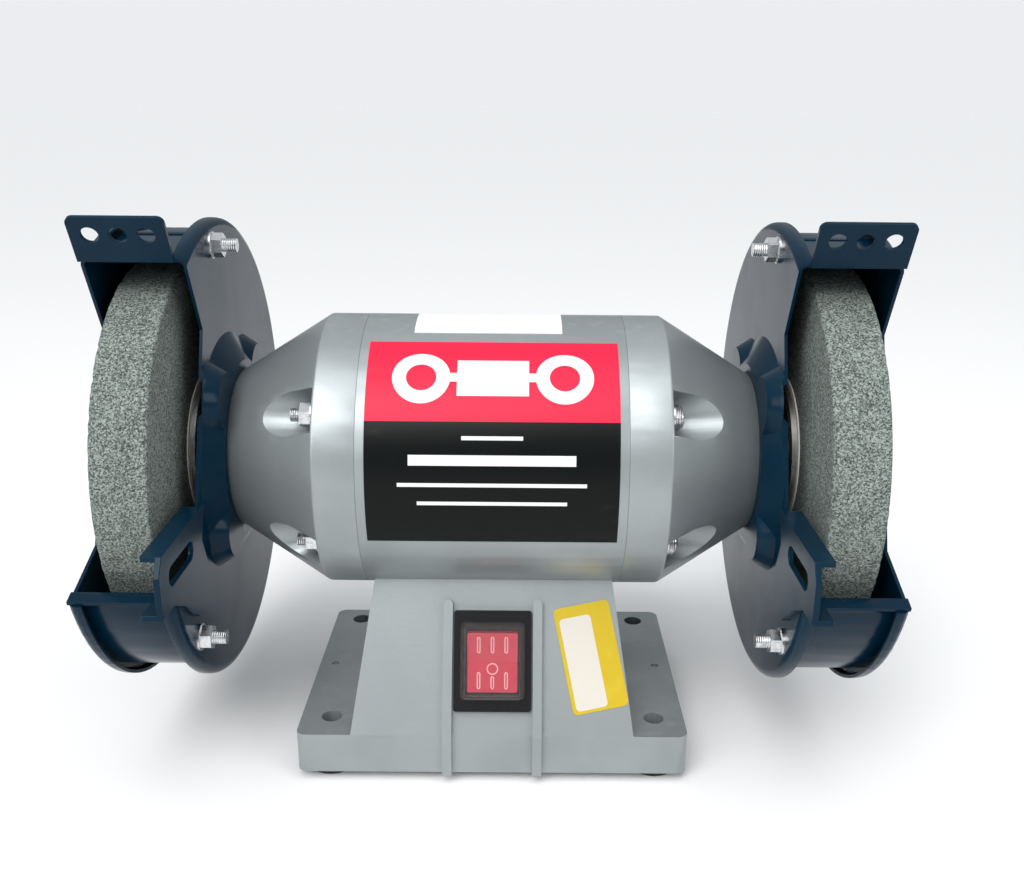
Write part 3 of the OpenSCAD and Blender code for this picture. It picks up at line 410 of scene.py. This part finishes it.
facing = clear.node("ShaderNodeLayerWeight", {}, {"Blend": 0.45}, out="Facing")
haze = clear.grain(3 * mm, 3.0)
clear.shade({
    "Base Color": clear.mix(haze, (0.40, 0.33, 0.33, 1), (0.50, 0.44, 0.44, 1)),
    "Alpha": 0.04 + facing * 0.3 + haze * 0.03,
})
clear.emboss(haze, 0.05 * mm)
clear.coat("switch_boot")
round_edges("switch_boot", 0.5 * mm)

joints = frame["record"]["behaviour"]["joints"]
rocker_pivot = Vector(next(joint["pos_m"] for joint in joints if joint["name"] == "switch_rock"))
rocker_tilt = math.radians(8)
rocker_half_long = 11.5 * mm
rocker_rise = 4.5 * mm
rocker_dip = 2.7 * mm
mark_wide = 0.5 * mm
mark_proud = 0.28 * mm
mark_sunk = 0.1 * mm
mark_steps = 6
bar_spacing = 5.3 * mm
bar_half = 0.5 * mm
upper_bar = (6.8 * mm, 3.1 * mm)
lower_bar_end = -10 * mm
lower_bar_half = 3.0 * mm
short_bar_half = 2.2 * mm
dot_place = -2.6 * mm
dot_radius = 2.0 * mm
rocker_frame = (
    Matrix.Translation(rocker_pivot)
    @ Matrix.Rotation(math.pi / 2 - slope_lean, 4, "X")
    @ Matrix.Rotation(rocker_tilt, 4, "X")
)


def rocker_top(y):
    """Height of the rocker's faces, which meet in a shallow valley."""
    return rocker_dip + (rocker_rise - rocker_dip) * abs(y) / rocker_half_long


def raised_line(shape, path, wide, proud, top):
    """A closed raised line along a path of points on a face, with a rounded back."""
    count = len(path)
    rings = []
    for i, (x, y) in enumerate(path):
        before, after = Vector(path[i - 1]), Vector(path[(i + 1) % count])
        run = (after - before).normalized()
        side = Vector((-run.y, run.x))
        ring = []
        for step in range(mark_steps + 1):
            turn = math.pi * step / mark_steps
            px = x + side.x * wide / 2 * math.cos(turn)
            py = y + side.y * wide / 2 * math.cos(turn)
            pz = top(py) - mark_sunk + (proud + mark_sunk) * math.sin(turn)
            ring.append(shape.verts.new((px, py, pz)))
        rings.append(ring)
    for i, ring in enumerate(rings):
        following = rings[(i + 1) % count]
        for step in range(mark_steps):
            shape.faces.new((ring[step], ring[step + 1], following[step + 1], following[step]))
        shape.faces.new((ring[-1], ring[0], following[0], following[-1]))


def oblong(x, y, half_x, half_y, corners=6):
    """Points round a slim oblong with round ends."""
    points = []
    for end in (1, -1):
        for i in range(corners + 1):
            turn = math.pi * i / corners
            out_x = half_x * math.cos(turn)
            out_y = half_y - half_x + half_x * math.sin(turn)
            points.append((x + end * out_x, y + end * out_y))
    return points


def circle(x, y, radius, count=28):
    """Points round a circle."""
    turns = [math.tau * i / count for i in range(count)]
    return [(x + radius * math.cos(turn), y + radius * math.sin(turn)) for turn in turns]


def new_piece(name, shape, material, body):
    """Turns a shape into a piece that rides on a body."""
    bmesh.ops.recalc_face_normals(shape, faces=shape.faces)
    mesh = bpy.data.meshes.new(name)
    shape.to_mesh(mesh)
    shape.free()
    mesh.shade_smooth()
    mesh.materials.append(material)
    piece = bpy.data.objects.new(name, mesh)
    bpy.context.collection.objects.link(piece)
    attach(piece, body)
    return piece


mark_paths = []
for x in (-bar_spacing, 0.0, bar_spacing):
    low_half = lower_bar_half if x else short_bar_half
    mark_paths.append(oblong(x, upper_bar[0], bar_half, upper_bar[1]))
    mark_paths.append(oblong(x, lower_bar_end + low_half, bar_half, low_half))
mark_paths.append(circle(0.0, dot_place, dot_radius))
marks = bmesh.new()
for path in mark_paths:
    raised_line(marks, path, mark_wide, mark_proud, rocker_top)
marks.transform(rocker_frame)
new_piece("rocker_marks", marks, mark_highlight.material, "rocker")


# Wheel guards: pressed steel plates and covers with a rolled band between
# them, and a welded bracket for a tool rest. All in gloss navy enamel.
navy = (0.0008, 0.014, 0.030, 1)
navy_worn = (0.0015, 0.020, 0.040, 1)
enamel = Finish("navy_enamel", Specular_IOR_Level=0.12)
orange_peel = enamel.grain(2.2 * mm, 1.0)
haze = enamel.grain(30 * mm, 2.0).over(0.3, 0.8)
specks = enamel.grain(0.7 * mm, 2.0).over(0.74, 0.8)
enamel.shade({
    "Base Color": enamel.mix(specks * 0.2, enamel.mix(haze, navy, navy_worn), (0.16, 0.18, 0.18, 1)),
    "Roughness": 0.17 + haze * 0.1 + specks * 0.3,
})
enamel.emboss(orange_peel, 0.012 * mm)
guard_parts = ("guard_plate", "guard_band", "guard_cover", "rest_bracket")
guard_nodes = [f"{part}_{side}" for part in guard_parts for side in ("left", "right")]
enamel.coat(*guard_nodes)
for name in guard_nodes:
    round_edges(name, 0.3 * mm)


# Grinding wheels: coarse grey grit in a vitrified bond, trued on the rim,
# with crumbled corners. Each is pressed between two flanges on paper blotters.
# The darkest colour is painted shade inside the pores. The mid and light colours are the grit's own.
pit_shade = (0.018, 0.023, 0.020, 1)
grit_mid = (0.062, 0.077, 0.069, 1)
grit_light = (0.32, 0.365, 0.335, 1)
grit = Finish("vitrified_grit", Specular_IOR_Level=0.3)
cell_size = 0.5 * mm
cell_sockets = {"Vector": grit.place(), "Scale": 1 / cell_size, "Randomness": 1.0}
cells = grit.node("ShaderNodeTexVoronoi", {}, cell_sockets, out="Color")
shade = grit.node("ShaderNodeSeparateColor", {}, {"Color": cells})
fine = grit.grain(0.38 * mm, 4.0)
cloud = grit.grain(14 * mm, 3.0)
# Pores sink as pits in the bump, and their near-black colour is painted shade inside the pits.
pits_and_shade = grit.grain(0.7 * mm, 3.0).over(0.56, 0.68)
tone = shade * 0.55 + fine * 0.6 + cloud * 0.2 - 0.2
grit.shade({
    "Base Color": grit.mix(pits_and_shade * 0.7, grit.mix(tone.over(0.12, 0.85), grit_mid, grit_light), pit_shade),
    "Roughness": 0.78 + fine * 0.18,
})
grit.emboss(fine * 0.6 + shade * 0.4 - pits_and_shade * 0.8, 0.45 * mm)
wheel_bore = 6.35 * mm
wheel_corner = 1.0 * mm
plain_edge = 28 * mm
rough_edge = 31 * mm
side_rings = 34
corner_rings = 4
rim_rings = 8
wheel_steps = 420
coarse_grain = 1.3 * mm
fine_grain = 0.6 * mm
crumb_size = 2.3 * mm
crumb_reach = 2.2 * mm
rim_skin = 2.5 * mm


def grinding_wheel(name):
    """A turned wheel with a grainy rim and worn corners."""
    low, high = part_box(name)
    middle = (low.x + high.x) / 2
    half_width = (high.x - low.x) / 2
    outer = (high.z - low.z) / 2
    inner = half_width - wheel_corner
    profile = [(-half_width, wheel_bore), (-half_width, plain_edge)]
    for i in range(side_rings + 1):
        profile.append((-half_width, rough_edge + (outer - wheel_corner - rough_edge) * i / side_rings))
    for i in range(1, corner_rings + 1):
        turn = math.pi / 2 * i / corner_rings
        out = outer - wheel_corner * (1 - math.sin(turn))
        profile.append((-half_width + wheel_corner * (1 - math.cos(turn)), out))
    for i in range(1, rim_rings + 1):
        profile.append((-inner * (1 - i / rim_rings), outer))
    profile += [(-x, r) for x, r in reversed(profile[:-1])]
    shape = bmesh.new()
    rings = []
    for step in range(wheel_steps):
        turn = math.tau * step / wheel_steps
        ring = []
        for x, r in profile:
            y, z = r * math.cos(turn), r * math.sin(turn)
            if r > plain_edge:
                at = Vector((middle + x, y, z))
                rough = noise.noise(at / coarse_grain) * 0.07 * mm + noise.noise(at / fine_grain) * 0.06 * mm
                from_corner = Vector((abs(x) - half_width, r - outer)).length
                near_corner = max(0.0, 1 - from_corner / crumb_reach)
                crumble = max(0.0, noise.noise(at / crumb_size) - 0.1) * 0.9 * mm * near_corner
                x -= math.copysign(max(0.0, rough) + crumble * 0.7, x) if abs(x) > half_width * 0.9 else 0.0
                shrink = (max(0.0, rough) + crumble) / r if r > outer - rim_skin else 0.0
                y, z = y * (1 - shrink), z * (1 - shrink)
            ring.append(shape.verts.new((middle + x, shaft_y + y, shaft_z + z)))
        rings.append(ring)
    for step, ring in enumerate(rings):
        following = rings[(step + 1) % wheel_steps]
        for i in range(len(ring)):
            j = (i + 1) % len(ring)
            shape.faces.new((ring[i], ring[j], following[j], following[i]))
    piece = new_piece("grit_" + name, shape, grit.material, "rotor")
    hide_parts(name)


for name in ("grinding_wheel_left", "grinding_wheel_right"):
    grinding_wheel(name)


# Flanges, shaft and nuts: turned from bar and left bright, with fine tool
# marks. The blotters are plain card discs between flange and wheel.
turned = Finish("turned_steel", Metallic=1.0)
tool_marks = turned.grain(0.2 * mm, 2.0, (1, 0.05, 0.05))
oil = turned.grain(5 * mm, 4.0).over(0.45, 0.7)
turned.shade({
    "Base Color": turned.mix(oil, (0.62, 0.62, 0.62, 1), (0.46, 0.44, 0.41, 1)),
    "Roughness": 0.22 + tool_marks * 0.12 + oil * 0.08,
})
turned.emboss(tool_marks, 0.01 * mm)
turned.coat(
    "shaft", "inner_flange_left", "inner_flange_right",
    "outer_flange_left", "outer_flange_right", "shaft_nut_left", "shaft_nut_right",
)
card = Finish("blotter_card")
pulp = card.grain(0.6 * mm, 5.0)
card.shade({
    "Base Color": card.mix(pulp, (0.62, 0.58, 0.50, 1), (0.74, 0.71, 0.64, 1)),
    "Roughness": 0.75 + pulp * 0.2,
})
card.emboss(pulp, 0.03 * mm)
card.coat("wheel_blotters")


# Motor inside the housing: stacked laminations, a varnished copper winding,
# a cast cage and two ball bearings with a wave washer.
laminated = Finish("laminations", Metallic=0.85)
sheets = abs((laminated.axes()[0] % (0.5 * mm)) / (0.5 * mm) - 0.5) * 2.0
scale = laminated.grain(3 * mm, 4.0)
laminated.shade({
    "Base Color": laminated.mix(scale, (0.12, 0.125, 0.14, 1), (0.22, 0.22, 0.24, 1)),
    "Roughness": 0.45 + scale * 0.2,
})
laminated.emboss(sheets, 0.06 * mm)
laminated.coat("stator_core", "rotor_core")
copper = Finish("varnished_copper", Metallic=0.8, Coat_Weight=0.5, Coat_Roughness=0.2)
strands = copper.grain(0.7 * mm, 1.0, (0.2, 1, 1))
copper.shade({
    "Base Color": copper.mix(strands, (0.35, 0.10, 0.03, 1), (0.62, 0.24, 0.09, 1)),
    "Roughness": 0.28 + strands * 0.15,
})
copper.emboss(strands, 0.3 * mm)
copper.coat("stator_winding")
cast_cage = Finish("cast_aluminium", Metallic=0.9)
flow = cast_cage.grain(2 * mm, 3.0)
cast_cage.shade({
    "Base Color": cast_cage.mix(flow, (0.60, 0.61, 0.62, 1), (0.74, 0.75, 0.76, 1)),
    "Roughness": 0.4 + flow * 0.15,
})
cast_cage.emboss(flow, 0.1 * mm)
cast_cage.coat("rotor_cage")
race = plated("ground_bearing_steel", (0.66, 0.66, 0.68, 1), 0.1)
race.coat(
    "bearing_outer_left", "bearing_outer_right", "bearing_inner_left", "bearing_inner_right",
    "bearing_balls_left", "bearing_balls_right", "wave_washer",
)


# Wiring parts in the base: a run capacitor in an aluminium can, held by a
# clip, and a three-way terminal block with brass screws.
can = Finish("capacitor_can", Metallic=0.6)
draw_lines = can.grain(0.6 * mm, 2.0, (0.1, 1, 1))
can.shade({
    "Base Color": can.mix(draw_lines, (0.60, 0.60, 0.57, 1), (0.72, 0.72, 0.69, 1)),
    "Roughness": 0.3 + draw_lines * 0.15,
})
can.emboss(draw_lines, 0.02 * mm)
can.coat("capacitor")
nylon = Finish("terminal_nylon", Subsurface_Weight=0.1, Subsurface_Scale=0.002)
milky = nylon.grain(3 * mm, 3.0)
nylon.shade({
    "Base Color": nylon.mix(milky, (0.66, 0.65, 0.58, 1), (0.76, 0.75, 0.69, 1)),
    "Roughness": 0.4 + milky * 0.15,
})
nylon.emboss(milky, 0.03 * mm)
nylon.coat("terminal_block")
brass = plated("screw_brass", (0.74, 0.54, 0.24, 1), 0.25)
brass.coat("terminal_screws")


# Bench and light: a plain pale bench top in a pale room that is darker near
# the floor, with low sun through a wide window and three soft lamps.
bench_size = 40.0
bench_tone = (0.86, 0.86, 0.86, 1)
bench = bpy.data.objects.new("bench_top", bpy.data.meshes.new("bench_top"))
bench_shape = bmesh.new()
bmesh.ops.create_grid(bench_shape, x_segments=8, y_segments=8, size=bench_size)
bench_shape.to_mesh(bench.data)
bench_shape.free()
bpy.context.collection.objects.link(bench)
bench_paint = Finish("bench_paint", Specular_IOR_Level=0.2)
bench_paint.shade({"Base Color": bench_tone, "Roughness": 0.7 + bench_paint.grain(20 * mm) * 0.1})
bench.data.materials.append(bench_paint.material)


def lamp(name, kind, power, aim, place=(0, 0, 0), **shape):
    """A light that shines along aim."""
    light = bpy.data.objects.new(name, bpy.data.lights.new(name, kind))
    light.data.energy = power
    for key, value in shape.items():
        setattr(light.data, key, value)
    light.location = place
    light.rotation_mode = "QUATERNION"
    light.rotation_quaternion = Vector(aim).to_track_quat("-Z", "Y")
    bpy.context.collection.objects.link(light)


def soft_light(name, place, target, width, depth, power):
    """A flat lamp that faces the target."""
    aim = Vector(target) - Vector(place)
    lamp(name, "AREA", power, aim, place, shape="RECTANGLE", size=width, size_y=depth)


class Room(Finish):
    """The room's light, made like a finish."""

    def __init__(self, name):
        world = bpy.data.worlds.new(name)
        bpy.context.scene.world = world
        world.use_nodes = True
        self.tree = world.node_tree
        self.shader = self.tree.nodes["Background"]


machine_middle = (0, 0, 0.12)
soft_light("overhead", (0.0, -0.25, 1.0), (0, 0, 0.1), 1.1, 0.5, 3)
soft_light("front_left", (-0.8, -0.9, 0.7), machine_middle, 0.5, 0.6, 4)
soft_light("front_right", (0.9, -0.8, 0.6), machine_middle, 0.4, 0.5, 2.5)
lamp("window", "SUN", 1.7, (0.25, 0.75, -0.85), angle=math.radians(35))
room = Room("room")
room_low = (0.20, 0.21, 0.22, 1)
room_high = (0.62, 0.64, 0.66, 1)
room_behind = (0.735, 0.74, 0.765, 1)
full_height = 0.8
around = room.node("ShaderNodeTexCoord", out="Generated")
up_wall = room.node("ShaderNodeSeparateXYZ", {}, {"Vector": around}, out="Z")
walls = room.mix(up_wall / full_height, room_low, room_high)
backdrop = room.node("ShaderNodeLightPath", out="Is Camera Ray")
room.shade({"Color": room.mix(backdrop, walls, room_behind), "Strength": 1.15})
bpy.context.scene.view_settings.view_transform = "Standard"
